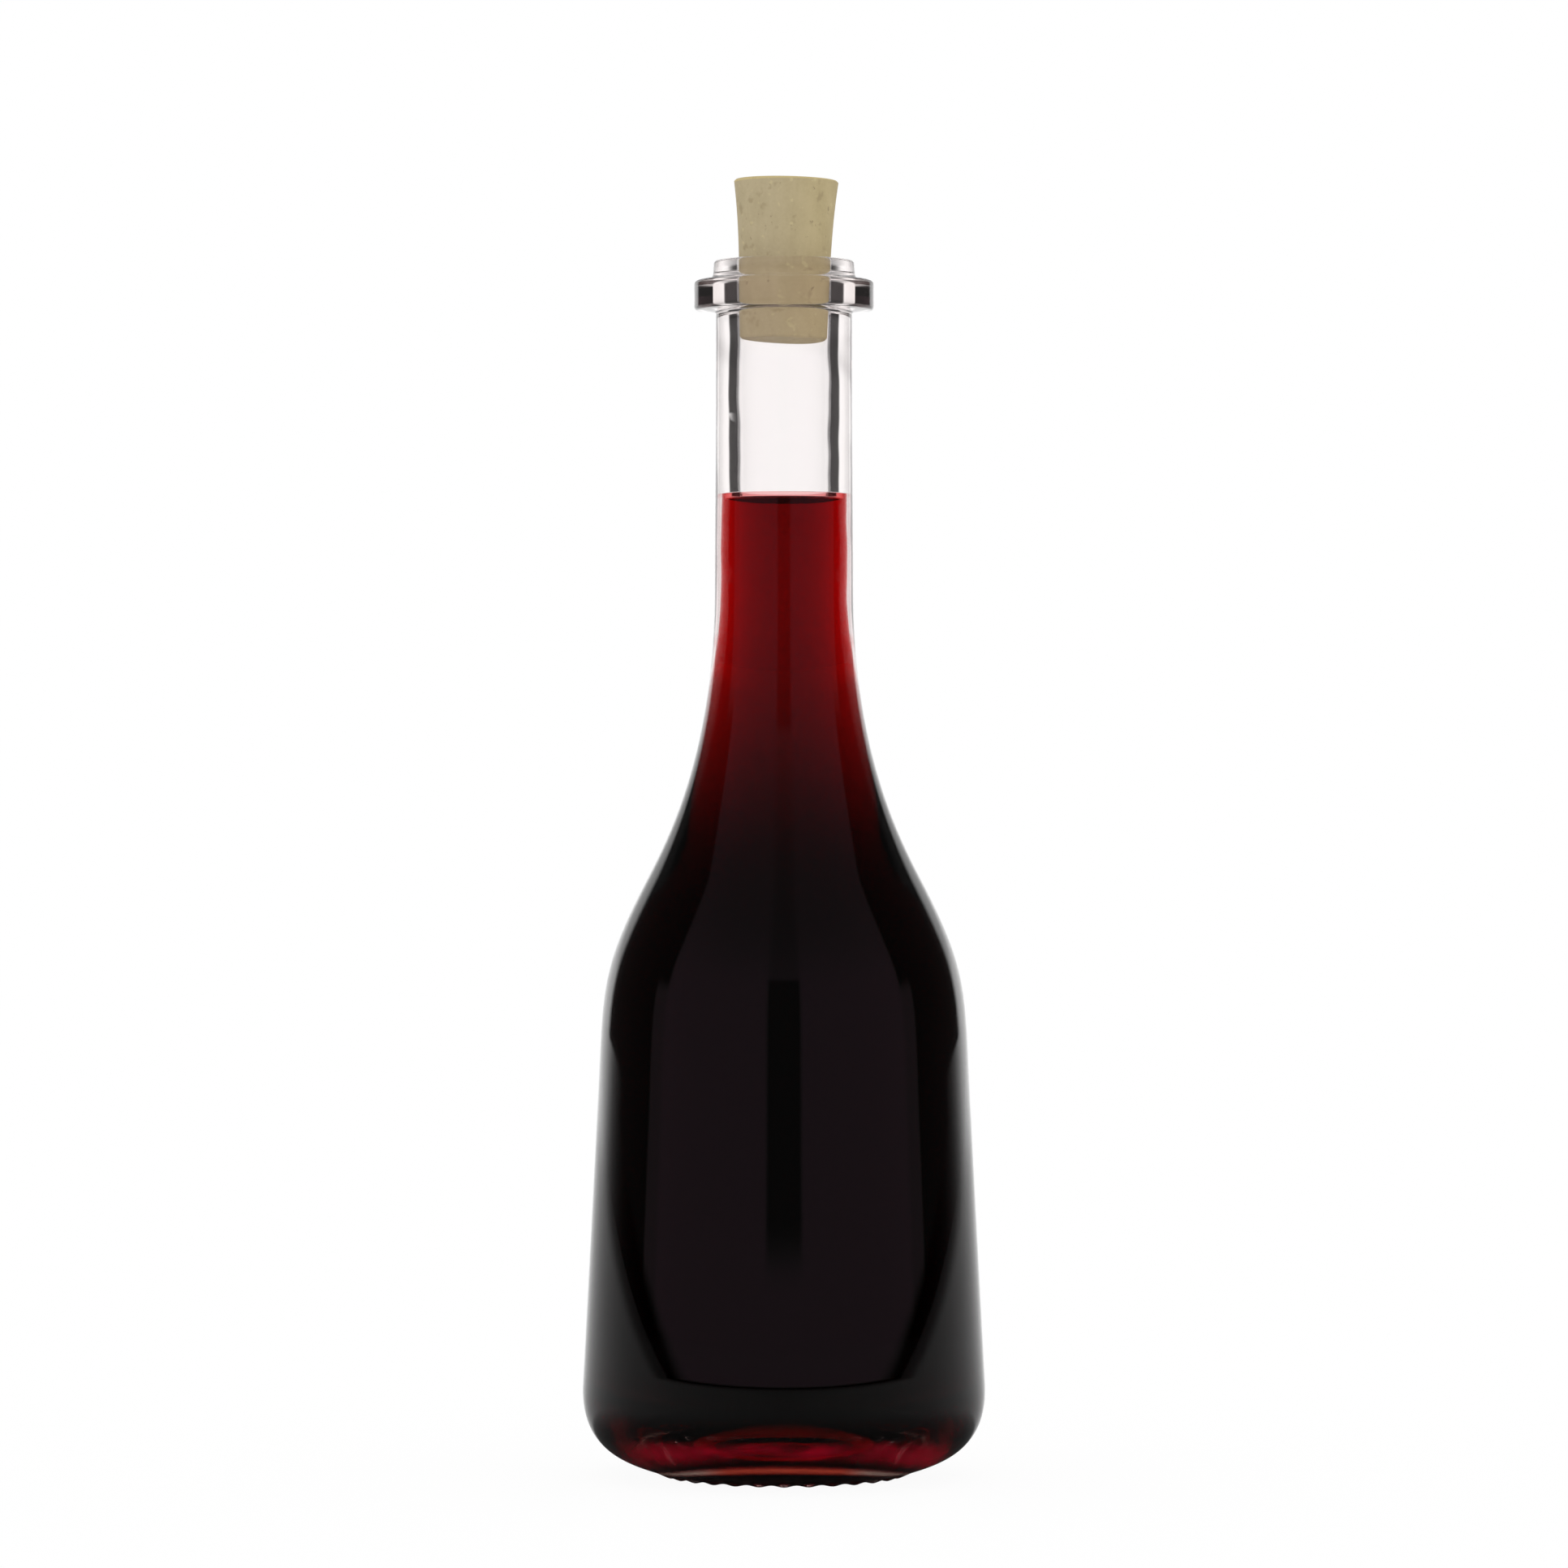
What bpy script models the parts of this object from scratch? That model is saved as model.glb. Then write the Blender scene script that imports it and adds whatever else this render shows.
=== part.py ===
"""Corked glass bottle of red drink, modelled in metres with +Z up and the foot standing on z = 0.

The glass is one thick shell turned about the Z axis: a knurled foot, a body that narrows a little
as it rises, a long S-shaped shoulder, a straight neck, and a wide ring under a narrow lip.
A tapered cork leans slightly in the mouth, and the drink fills the shell up to the neck.
"""
import math

import bpy
from mathutils import Matrix

MM = 0.001

# Turning
STEPS = 60
AXIS_MERGE = 0.00005
SHARP_EDGE = math.radians(40)
GAP = 0.3 * MM

# Foot and heel
FOOT_RADIUS = 24.6 * MM
FOOT_INNER_RADIUS = 20.0 * MM
FOOT_SLOPE = math.radians(16.4)
HEEL_TOP = 18.4 * MM
HEEL_RADIUS = 41.65 * MM
HEEL_SLOPE = math.radians(1.2)
HEEL_PULL = 13.7 * MM
FOOT_PULL = 7.6 * MM
PUSH_UP = 3.8 * MM
KNURLS = 30
KNURL_DEPTH = 0.4 * MM
KNURL_REACH = 3.4 * MM

# Body and shoulder
BODY_TOP = 75.1 * MM
BODY_TOP_RADIUS = 38.7 * MM
CONE_SLOPE = math.atan2(HEEL_RADIUS - BODY_TOP_RADIUS, BODY_TOP - HEEL_TOP)
SHOULDER_MID = 122.1 * MM
SHOULDER_MID_RADIUS = 28.96 * MM
SHOULDER_SLOPE = math.radians(27.3)
NECK_PULL = 34.5 * MM
FLARE_PULL = 9.8 * MM
ROUND_PULL = 20.7 * MM
BODY_PULL = 24.8 * MM
BODY_WALL = 2.7 * MM

# Neck, ring and lip
NECK_LOW = 183.5 * MM
NECK_LOW_RADIUS = 14.33 * MM
NECK_WAIST = 224.5 * MM
NECK_WAIST_RADIUS = 14.1 * MM
RING_RADIUS = 18.6 * MM
RING_BOTTOM = 241.1 * MM
RING_TOP = 247.2 * MM
RING_UNDERCUT = 1.3 * MM
LIP_RADIUS = 14.8 * MM
LIP_TOP = 251.3 * MM
LIP_FLARE = 0.3 * MM
BORE_RADIUS = 9.8 * MM

# Inner floor of the glass
FLOOR_CENTRE = 9.2 * MM
FLOOR_EDGE = 8.0 * MM
FLOOR_EDGE_RADIUS = 14.0 * MM
INNER_HEEL_TOP = 27.0 * MM

# Cork
CORK_TOP = 268.0 * MM
CORK_BOTTOM = 235.0 * MM
CORK_TOP_RADIUS = 10.8 * MM
CORK_MOUTH_RADIUS = 9.48 * MM
CORK_BOTTOM_RADIUS = 9.1 * MM
CORK_EDGE = 0.35 * MM
CORK_LEAN = math.radians(1.1)

# Drink
DRINK_LEVEL = 202.6 * MM
MENISCUS = 0.8 * MM
MENISCUS_START = 0.72

GLASS = ("glass", (0.86, 0.90, 0.89, 0.35), 0.03)
CORK = ("cork", (0.40, 0.35, 0.20, 1.0), 0.75)
DRINK = ("red_drink", (0.16, 0.0, 0.01, 1.0), 0.12)


def cubic(start, start_pull, end_pull, end, count):
    """Points of a cubic curve, both ends included, as (radius, height)."""
    points = []
    for step in range(count + 1):
        t = step / count
        s = 1.0 - t
        weights = (s**3, 3 * s * s * t, 3 * s * t * t, t**3)
        controls = (start, start_pull, end_pull, end)
        radius = sum(w * p[0] for w, p in zip(weights, controls))
        height = sum(w * p[1] for w, p in zip(weights, controls))
        points.append((radius, height))
    return points


def shifted(point, angle, length):
    """The point moved along a line that runs down and out at the angle from the vertical."""
    return (point[0] + length * math.sin(angle), point[1] - length * math.cos(angle))


def rounded(corners):
    """Points of an outline with arcs at its corners, each (radius, height, rounding, arc's steps)."""
    points = []
    for i, (radius, height, rounding, count) in enumerate(corners):
        if count == 0:
            points.append((radius, height))
            continue
        before = corners[i - 1]
        after = corners[i + 1]
        into = (before[0] - radius, before[1] - height)
        out = (after[0] - radius, after[1] - height)
        into_length = math.hypot(*into)
        out_length = math.hypot(*out)
        into = (into[0] / into_length, into[1] / into_length)
        out = (out[0] / out_length, out[1] / out_length)
        half = math.acos(into[0] * out[0] + into[1] * out[1]) / 2
        centre_way = (into[0] + out[0], into[1] + out[1])
        scale = rounding / math.sin(half) / math.hypot(*centre_way)
        centre = (radius + centre_way[0] * scale, height + centre_way[1] * scale)
        tangent = rounding / math.tan(half)
        first = (radius + into[0] * tangent, height + into[1] * tangent)
        last = (radius + out[0] * tangent, height + out[1] * tangent)
        first_angle = math.atan2(first[1] - centre[1], first[0] - centre[0])
        last_angle = math.atan2(last[1] - centre[1], last[0] - centre[0])
        turn = (last_angle - first_angle + math.pi) % math.tau - math.pi
        for step in range(count + 1):
            angle = first_angle + turn * step / count
            points.append((centre[0] + rounding * math.cos(angle), centre[1] + rounding * math.sin(angle)))
    return points


def joined(*runs):
    """The runs of points as one outline, each shared end kept once."""
    outline = []
    for run in runs:
        for point in run:
            if not outline or math.dist(point, outline[-1]) > 0.02 * MM:
                outline.append(point)
    return outline


def moved_inward(points, first_wall, last_wall):
    """The points of an outer curve moved inward along its normals by the wall's thickness."""
    moved = []
    for i, (radius, height) in enumerate(points):
        before = points[max(i - 1, 0)]
        after = points[min(i + 1, len(points) - 1)]
        run = (after[0] - before[0], after[1] - before[1])
        length = math.hypot(*run)
        share = i / (len(points) - 1)
        wall = first_wall + (last_wall - first_wall) * share
        moved.append((radius + run[1] / length * wall, height - run[0] / length * wall))
    return moved


def shoulder(upper_count, lower_count):
    """The S from the neck down to the body, as its upper and its lower curve."""
    neck = (NECK_LOW_RADIUS, NECK_LOW)
    middle = (SHOULDER_MID_RADIUS, SHOULDER_MID)
    body = (BODY_TOP_RADIUS, BODY_TOP)
    upper = cubic(neck, shifted(neck, 0.0, NECK_PULL), shifted(middle, SHOULDER_SLOPE, -FLARE_PULL), middle,
                  upper_count)
    lower = cubic(middle, shifted(middle, SHOULDER_SLOPE, ROUND_PULL), shifted(body, CONE_SLOPE, -BODY_PULL),
                  body, lower_count)
    return upper, lower


def inner_wall(upper_count, lower_count, heel_count):
    """The inside of the glass from the bottom of the neck down to the middle of the floor."""
    neck_wall = NECK_LOW_RADIUS - BORE_RADIUS
    upper, lower = shoulder(upper_count, lower_count)
    upper = moved_inward(upper, neck_wall, BODY_WALL)
    lower = moved_inward(lower, BODY_WALL, BODY_WALL)
    heel_radius = BODY_TOP_RADIUS + (BODY_TOP - INNER_HEEL_TOP) * math.tan(CONE_SLOPE) - BODY_WALL
    heel = (heel_radius, INNER_HEEL_TOP)
    floor = (FLOOR_EDGE_RADIUS, FLOOR_EDGE)
    corner = cubic(heel, shifted(heel, CONE_SLOPE, 13.0 * MM), (floor[0] + 14.0 * MM, floor[1]), floor, heel_count)
    return joined(upper, lower, corner, [(FLOOR_EDGE_RADIUS / 2, (FLOOR_EDGE + 2 * FLOOR_CENTRE) / 3)],
                  [(0.0, FLOOR_CENTRE)])


def outer_wall():
    """The outside of the glass from the neck's waist down and under the foot to the middle."""
    waist = (NECK_WAIST_RADIUS, NECK_WAIST)
    neck = (NECK_LOW_RADIUS, NECK_LOW)
    straight = cubic(waist, shifted(waist, 0.0, 14.0 * MM), shifted(neck, 0.0, -14.0 * MM), neck, 3)
    upper, lower = shoulder(8, 8)
    heel = (HEEL_RADIUS, HEEL_TOP)
    foot = (FOOT_RADIUS, KNURL_DEPTH)
    foot_pull = (FOOT_RADIUS + FOOT_PULL * math.cos(FOOT_SLOPE), KNURL_DEPTH + FOOT_PULL * math.sin(FOOT_SLOPE))
    corner = cubic(heel, shifted(heel, HEEL_SLOPE, HEEL_PULL), foot_pull, foot, 8)
    under_edge = (FOOT_INNER_RADIUS, KNURL_DEPTH + 0.9 * MM)
    under = cubic(foot, (FOOT_RADIUS - 1.6 * MM, KNURL_DEPTH), shifted(under_edge, math.pi / 3, 1.4 * MM),
                  under_edge, 3)
    middle = [(FOOT_INNER_RADIUS * 0.55, PUSH_UP * 0.82), (0.0, PUSH_UP)]
    return joined(straight, upper, lower, corner, under, middle)


def mouth():
    """The bore's top, the lip and the ring, down to the neck's waist."""
    inner = [
        (BORE_RADIUS, NECK_WAIST, 0.0, 0),
        (BORE_RADIUS, LIP_TOP, 0.7 * MM, 2),
        (LIP_RADIUS - LIP_FLARE, LIP_TOP, 0.6 * MM, 2),
        (LIP_RADIUS, RING_TOP, 2.4 * MM, 4),
        (RING_RADIUS, RING_TOP, 0.9 * MM, 2),
        (RING_RADIUS, RING_BOTTOM, 0.7 * MM, 2),
        (NECK_WAIST_RADIUS, RING_BOTTOM - RING_UNDERCUT, 1.3 * MM, 2),
        (NECK_WAIST_RADIUS, NECK_WAIST, 0.0, 0),
    ]
    return rounded(inner)


def turned(name, outline, material, collection):
    """A solid of revolution about Z from an outline that ends on the axis."""
    mesh = bpy.data.meshes.new(name)
    edges = [(i, i + 1) for i in range(len(outline) - 1)]
    mesh.from_pydata([(radius, 0.0, height) for radius, height in outline], edges, [])
    part = bpy.data.objects.new(name, mesh)
    collection.objects.link(part)
    turn = part.modifiers.new("Turn", "SCREW")
    turn.axis = "Z"
    turn.steps = STEPS
    turn.render_steps = STEPS
    turn.use_merge_vertices = True
    turn.merge_threshold = AXIS_MERGE
    bpy.ops.object.select_all(action="DESELECT")
    part.select_set(True)
    bpy.context.view_layer.objects.active = part
    bpy.ops.object.modifier_apply(modifier=turn.name)
    bpy.ops.object.shade_smooth()
    part.data.set_sharp_from_angle(angle=SHARP_EDGE)
    part.data.materials.append(material)
    return part


def painted(values):
    """A Principled material with the colour, the roughness and no metal."""
    name, colour, roughness = values
    material = bpy.data.materials.new(name)
    material.use_nodes = True
    shader = material.node_tree.nodes["Principled BSDF"]
    shader.inputs["Base Color"].default_value = colour
    shader.inputs["Roughness"].default_value = roughness
    shader.inputs["Metallic"].default_value = 0.0
    material.diffuse_color = colour
    return material


def knurl_foot(glass):
    """Presses the knurls down out of the foot, down to z = 0, with one of them at the front."""
    for vertex in glass.data.vertices:
        radius = math.hypot(vertex.co.x, vertex.co.y)
        reach = abs(radius - FOOT_RADIUS) / KNURL_REACH
        if vertex.co.z > FLOOR_EDGE / 2 or reach >= 1.0:
            continue
        azimuth = math.atan2(vertex.co.y, vertex.co.x)
        knurl = 0.5 + 0.5 * math.cos(KNURLS * (azimuth + math.pi / 2))
        vertex.co.z -= KNURL_DEPTH * knurl * math.cos(reach * math.pi / 2) ** 2


def glass_outline():
    """The closed outline of the glass, from the middle of the floor up, over and down."""
    inside = inner_wall(7, 7, 5)
    inside.reverse()
    return joined(inside, mouth(), outer_wall())


def drink_outline():
    """The drink from the middle of its level out, down the wall and in along the floor."""
    reach = BORE_RADIUS - GAP
    level = [(0.0, DRINK_LEVEL)]
    for share in (MENISCUS_START, 0.86, 0.95, 1.0):
        climb = (share - MENISCUS_START) / (1.0 - MENISCUS_START)
        level.append((reach * share, DRINK_LEVEL + MENISCUS * climb * climb))
    wall = moved_inward(inner_wall(7, 7, 5), GAP, GAP)
    wall[-1] = (0.0, FLOOR_CENTRE + GAP)
    return joined(level, wall)


def cork_outline():
    """The cork from the middle of its top down its tapered side to the middle of its bottom."""
    edge = CORK_EDGE
    side = cubic((CORK_TOP_RADIUS, CORK_TOP - edge), (CORK_TOP_RADIUS - 0.75 * MM, CORK_TOP - 6.0 * MM),
                 (CORK_MOUTH_RADIUS + 0.25 * MM, LIP_TOP + 6.0 * MM), (CORK_MOUTH_RADIUS, LIP_TOP), 6)
    top = [(0.0, CORK_TOP), (CORK_TOP_RADIUS - edge, CORK_TOP)]
    bottom = [(CORK_BOTTOM_RADIUS, CORK_BOTTOM + edge), (CORK_BOTTOM_RADIUS - edge, CORK_BOTTOM), (0.0, CORK_BOTTOM)]
    return joined(top, side, bottom)


def lean(part, angle):
    """Tilts the part towards +X about the middle of the stretch that the neck holds."""
    there = Matrix.Translation((0.0, 0.0, (LIP_TOP + CORK_BOTTOM) / 2))
    part.data.transform(there @ Matrix.Rotation(angle, 4, "Y") @ there.inverted())


def build():
    for old in list(bpy.data.objects):
        bpy.data.objects.remove(old)
    collection = bpy.data.collections.new("corked_glass_bottle")
    bpy.context.scene.collection.children.link(collection)
    glass = turned("glass_bottle", glass_outline(), painted(GLASS), collection)
    knurl_foot(glass)
    cork = turned("cork_stopper", cork_outline(), painted(CORK), collection)
    lean(cork, CORK_LEAN)
    turned("drink", drink_outline(), painted(DRINK), collection)


build()
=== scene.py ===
"""Corked glass bottle of red drink: its glass, drink, cork and studio, laid out as a Blender add-on.

Every size is in metres, +Z is up, and the bottle stands on z = 0 with its axis on the Z axis.
"""
import math

import bpy
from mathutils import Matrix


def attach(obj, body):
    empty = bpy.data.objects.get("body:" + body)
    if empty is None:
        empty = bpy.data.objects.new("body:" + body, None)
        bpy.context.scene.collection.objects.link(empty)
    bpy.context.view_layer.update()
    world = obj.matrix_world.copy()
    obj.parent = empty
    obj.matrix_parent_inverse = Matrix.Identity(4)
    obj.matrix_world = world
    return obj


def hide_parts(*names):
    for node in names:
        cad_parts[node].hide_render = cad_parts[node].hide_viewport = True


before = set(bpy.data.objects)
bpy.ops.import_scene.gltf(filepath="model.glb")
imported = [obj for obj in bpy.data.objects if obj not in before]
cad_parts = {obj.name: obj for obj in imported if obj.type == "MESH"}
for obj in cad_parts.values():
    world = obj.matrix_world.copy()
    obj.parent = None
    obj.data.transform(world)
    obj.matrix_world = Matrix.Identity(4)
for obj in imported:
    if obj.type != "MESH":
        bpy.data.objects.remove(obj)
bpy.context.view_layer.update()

bl_info = {
    "name": "Corked Glass Bottle",
    "version": (1, 0, 0),
    "blender": (4, 5, 0),
    "location": "View3D > Sidebar > Bottle",
    "description": "Builds a corked glass bottle of red drink from its parts",
    "category": "Object",
}

MM = 0.001

# Turning: steps round the axis, and steps along the stretches of an outline
GLASS_STEPS = 240
DRINK_STEPS = 192
CORK_STEPS = 160
OUTER_SHOULDER_STEPS = (40, 28)
INNER_SHOULDER_STEPS = (44, 30)
NECK_SIDE_STEPS = 16
BODY_SIDE_STEPS = 12
HEEL_STEPS = 34
UNDER_STEPS = 10
RISE_STEPS = 14
INNER_HEEL_STEPS = 24
FLOOR_STEPS = 10
WET_STEPS = 16
DRY_STEPS = 40
FILM_STEPS = 4
CORK_TOP_STEPS = 24
CORK_SIDE_STEPS = 44
CORK_BOTTOM_STEPS = 20
MERGE = 0.01 * MM
SAME_POINT = 0.02 * MM
SHARP_EDGE = math.radians(32)

# Foot and heel
FOOT_RADIUS = 24.6 * MM
FOOT_INNER_RADIUS = 20.0 * MM
FOOT_SLOPE = math.radians(16.4)
HEEL_TOP = 18.4 * MM
HEEL_RADIUS = 41.65 * MM
HEEL_SLOPE = math.radians(1.2)
HEEL_PULL = 13.7 * MM
FOOT_PULL = 7.6 * MM
UNDER_RISE = 0.9 * MM
UNDER_SLOPE = math.pi / 3
FOOT_UNDER_PULL = 1.6 * MM
UNDER_PULL = 1.4 * MM
RISE_PULL = 3.0 * MM
PUSH_UP = 3.8 * MM

# Knurls of the foot
KNURL_REACH = 3.4 * MM
KNURL_ROOM = 0.4 * MM

# Body and shoulder
BODY_TOP = 75.1 * MM
BODY_TOP_RADIUS = 38.7 * MM
CONE_SLOPE = math.atan2(HEEL_RADIUS - BODY_TOP_RADIUS, BODY_TOP - HEEL_TOP)
SHOULDER_MID = 122.1 * MM
SHOULDER_MID_RADIUS = 28.96 * MM
SHOULDER_SLOPE = math.radians(27.3)
NECK_PULL = 34.5 * MM
FLARE_PULL = 9.8 * MM
ROUND_PULL = 20.7 * MM
BODY_PULL = 24.8 * MM
BODY_WALL = 2.7 * MM

# Neck, ring and lip
NECK_LOW = 183.5 * MM
NECK_LOW_RADIUS = 14.33 * MM
NECK_WAIST = 224.5 * MM
NECK_WAIST_RADIUS = 14.1 * MM
NECK_SIDE_PULL = 14.0 * MM
RING_RADIUS = 18.6 * MM
RING_BOTTOM = 241.1 * MM
RING_TOP = 247.2 * MM
RING_UNDERCUT = 0.4 * MM
RING_ROUND = 0.8 * MM
RING_FILLET = 0.6 * MM
LIP_RADIUS = 14.8 * MM
LIP_TOP = 251.3 * MM
LIP_FLARE = 0.3 * MM
LIP_FILLET = 1.6 * MM
LIP_ROUND = 0.6 * MM
MOUTH_ROUND = 0.7 * MM
MOUTH_DEPTH = 2.0 * MM
BORE_RADIUS = 9.8 * MM

# Waves of the bore, in millimetres: their start and end, each with its fade, then the main wave
WAVE_START = 165.0
WAVE_START_FADE = 12.0
WAVE_END = 241.0
WAVE_END_FADE = 5.0
MAIN_WAVE = 5.3
MAIN_WAVE_SWAY = 1.7

# Lesser waves of the bore: strength, millimetres per radian, turns round the neck and phase
SIDE_WAVES = ((0.6, 2.6, 2.0, 0.0), (0.5, 9.0, -1.0, 1.0), (0.3, 1.3, 3.0, 0.0))

# All the waves together from crest to trough, and how far in and out of the bore they take hold
WAVE_RANGE = 4.8
WAVE_REACH = (0.05 * MM, 0.6 * MM)

# Inner floor of the glass
FLOOR_CENTRE = 9.2 * MM
FLOOR_EDGE = 8.0 * MM
FLOOR_EDGE_RADIUS = 14.0 * MM
FLOOR_PULL = 14.0 * MM
INNER_HEEL_TOP = 27.0 * MM
INNER_HEEL_PULL = 13.0 * MM
FLOOR_FLAT_SHARE = 0.6
FLOOR_CENTRE_SHARE = 0.35

# Cork
CORK_TOP = 268.0 * MM
CORK_BOTTOM = 235.0 * MM
CORK_TOP_RADIUS = 10.8 * MM
CORK_MOUTH_RADIUS = 9.48 * MM
CORK_BOTTOM_RADIUS = 9.1 * MM
CORK_EDGE = 0.35 * MM
CORK_SIDE_PULL = 6.0 * MM
CORK_TOP_DRAW = 0.75 * MM
CORK_MOUTH_DRAW = 0.25 * MM
CORK_LEAN = math.radians(1.1)

# Grain of the cork: the size of each kind of mark, where its noise shows, its strength and its colour
GRAIN = 0.7 * MM
GRAIN_SHARE = 0.35
BLOCK = 3.2 * MM
BLOCK_SHARE = 0.45
STREAK = 1.6 * MM
STREAK_SHARE = 0.2
TONE_SPAN = (0.32, 0.68)
PORE = 1.1 * MM
PORE_SPAN = (0.66, 0.74)
PORE_SHARE = 0.45
PORE_COLOUR = (0.14, 0.10, 0.05, 1.0)
SPOT = 2.6 * MM
SPOT_SPAN = (0.6, 0.72)
SPOT_SHARE = 0.5
SPOT_COLOUR = (0.30, 0.235, 0.13, 1.0)
DOT = 1.5 * MM
DOT_SPAN = (0.66, 0.76)
DOT_SHARE = 0.55
DOT_COLOUR = (0.56, 0.48, 0.27, 1.0)

# The cork is warmer to the right and has a pale top edge
WARM_START = -4.0 * MM
WARM_END = 9.0 * MM
WARM_SHARE = 0.8
WARM_TINT = (1.05, 1.03, 0.90, 1.0)
TOP_EDGE_START = 0.55 * MM
TOP_EDGE_END = 0.3 * MM
TOP_EDGE_SHARE = 0.6
TOP_EDGE_COLOUR = (0.62, 0.50, 0.22, 1.0)

# Roughness, shine and relief of the cork
CORK_ROUGHNESS = 0.72
CORK_ROUGHNESS_RANGE = 0.2
CORK_SHINE = 0.2
CORK_RELIEF = 0.25
CORK_RELIEF_DEPTH = 0.15 * MM

# Drink: its surface is a bowl with a rounded corner below a thin film that climbs the glass
DRINK_LEVEL = 200.9 * MM
BOWL = 1.05 * MM
CORNER = 0.35 * MM
CORNER_RINGS = 8
FILM = 0.6 * MM
CONTACT = 2.3 * MM
SURFACE_RINGS = 20
WALL_REACH = 0.02 * MM
OPEN_SLACK = 0.01 * MM
CLOUD = 12.0 * MM
CLOUD_TINT = (0.97, 0.93, 0.93, 1.0)
CLOUD_ROUGHNESS = 0.002

# Painted shade: a dark matt sheet over the bowl of the drink's surface, from just below the level up, out to
# the bowl's radius
PAINTED_SHADE = 0.86
PAINTED_SHADE_COLOUR = (0.012, 0.001, 0.002, 1.0)
BOWL_RADIUS = BORE_RADIUS - FILM - CORNER
PAINTED_SHADE_EDGE = 0.3 * MM
PAINTED_SHADE_START = 1.0 * MM
PAINTED_SHADE_END = 0.5 * MM

# Painted glow low in the drink, which stands in for light that comes through the base: a wide red ring and
# inside it a thin bright one, whose ends are painted pale as a highlight
PAINTED_GLOW = 0.3
PAINTED_GLOW_TOP = 13.0 * MM
PAINTED_GLOW_TOP_FADE = 2.0 * MM
PAINTED_GLOW_RING = 27.6 * MM
PAINTED_GLOW_RING_WIDTH = 3.0 * MM
PAINTED_GLOW_PATCH = 9.0 * MM
PAINTED_GLOW_PATCH_SPAN = (0.35, 0.65)
PAINTED_GLOW_PATCH_LEAST = 0.3
EMBER_RING = 23.2 * MM
EMBER_RING_WIDTH = 1.5 * MM
PALE_START = 10.0 * MM
PALE_END = 17.0 * MM

# Waves and haze of the glass
GLASS_WAVE = 9.0 * MM
GLASS_WAVE_STRENGTH = 0.02
GLASS_WAVE_DEPTH = 0.2 * MM
GLASS_HAZE = 3.0 * MM
GLASS_HAZE_TINT = (0.99, 0.985, 0.985)
GLASS_ROUGHNESS = 0.004

# Camera of the photograph
PICTURE_PIXELS = 1932
FOCAL_PIXELS = 7900.0
SENSOR = 36.0
CAMERA_DISTANCE = 1327.7 * MM
CAMERA_HEIGHT = 143.04 * MM

# Floor: a disc just under the foot, with the shade of the bottle in front of it
FLOOR_RADIUS = 3.0
FLOOR_SIDES = 96
FLOOR_DROP = 0.05 * MM
FLOOR_SEEN = 0.94
FLOOR_PAINT = (0.06, 0.06, 0.06, 1.0)
SHADE_START = 40.0 * MM
SHADE_END = 110.0 * MM
BEHIND_START = 28.0 * MM
BEHIND_END = 45.0 * MM

# How sharply the floor's light ends to the sides, near the bottle and far from it
FLOOR_GLOW_WIDTH = math.radians(41.0)
FLOOR_NEAR = 1600.0 * MM
FLOOR_FAR = 2900.0 * MM
FLOOR_NEAR_POWER = 2.0
FLOOR_FAR_POWER = 8.0

# Studio light: angles from the backdrop's middle, heights as sines, each pair a change's start and end
SOFT_IN_GLASS = 0.52
BACKDROP_FADE_IN = math.radians(4.5)
BACKDROP_FADE_OUT = math.radians(3.5)
DIM_HEIGHTS = (0.08, 0.16)
DIM_SHARE = 0.32
HIGH_HEIGHTS = (0.36, 0.46)
HIGH_SHARE = 0.5
WING_EDGE = (math.radians(87.5), math.radians(90.0))
WING_TOP = (0.2, 0.3)
WING_SHARE = 0.7
FRONT_EDGE = (math.radians(97.0), math.radians(100.0))
FRONT_TOP = (0.3, 0.8)
FRONT_TOP_SHARE = 0.4
FRONT_TONE = (1.0, 0.68, 0.83, 1.0)
STRIP_EDGE = (math.radians(168.0), math.radians(171.0))
STRIP_BOTTOM = (0.024, 0.036)
STRIP_TOP = (0.38, 0.42)
STRIP_TOP_SHARE = 0.6
STRIP_SHARE = 0.85
HORIZON = (-0.006, 0.0)
WHITE = (1.0, 1.0, 1.0, 1.0)


# Shader maths

class Value:
    """An output socket that shader maths is written with."""

    def __init__(self, shader, socket):
        self.shader = shader
        self.socket = socket

    def maths(self, operation, *values):
        """The result of one step of maths on sockets and numbers."""
        return self.shader.node("ShaderNodeMath", {"operation": operation}, dict(enumerate(values)))

    def __add__(self, other):
        return self.maths("ADD", self, other)

    __radd__ = __add__

    def __sub__(self, other):
        return self.maths("SUBTRACT", self, other)

    def __rsub__(self, other):
        return self.maths("SUBTRACT", other, self)

    def __mul__(self, other):
        return self.maths("MULTIPLY", self, other)

    __rmul__ = __mul__

    def __truediv__(self, other):
        return self.maths("DIVIDE", self, other)

    def __rtruediv__(self, other):
        return self.maths("DIVIDE", other, self)

    def __pow__(self, power):
        return self.maths("POWER", self, power)

    def __abs__(self):
        return self.maths("ABSOLUTE", self)

    def __gt__(self, other):
        return self.maths("GREATER_THAN", self, other)


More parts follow.
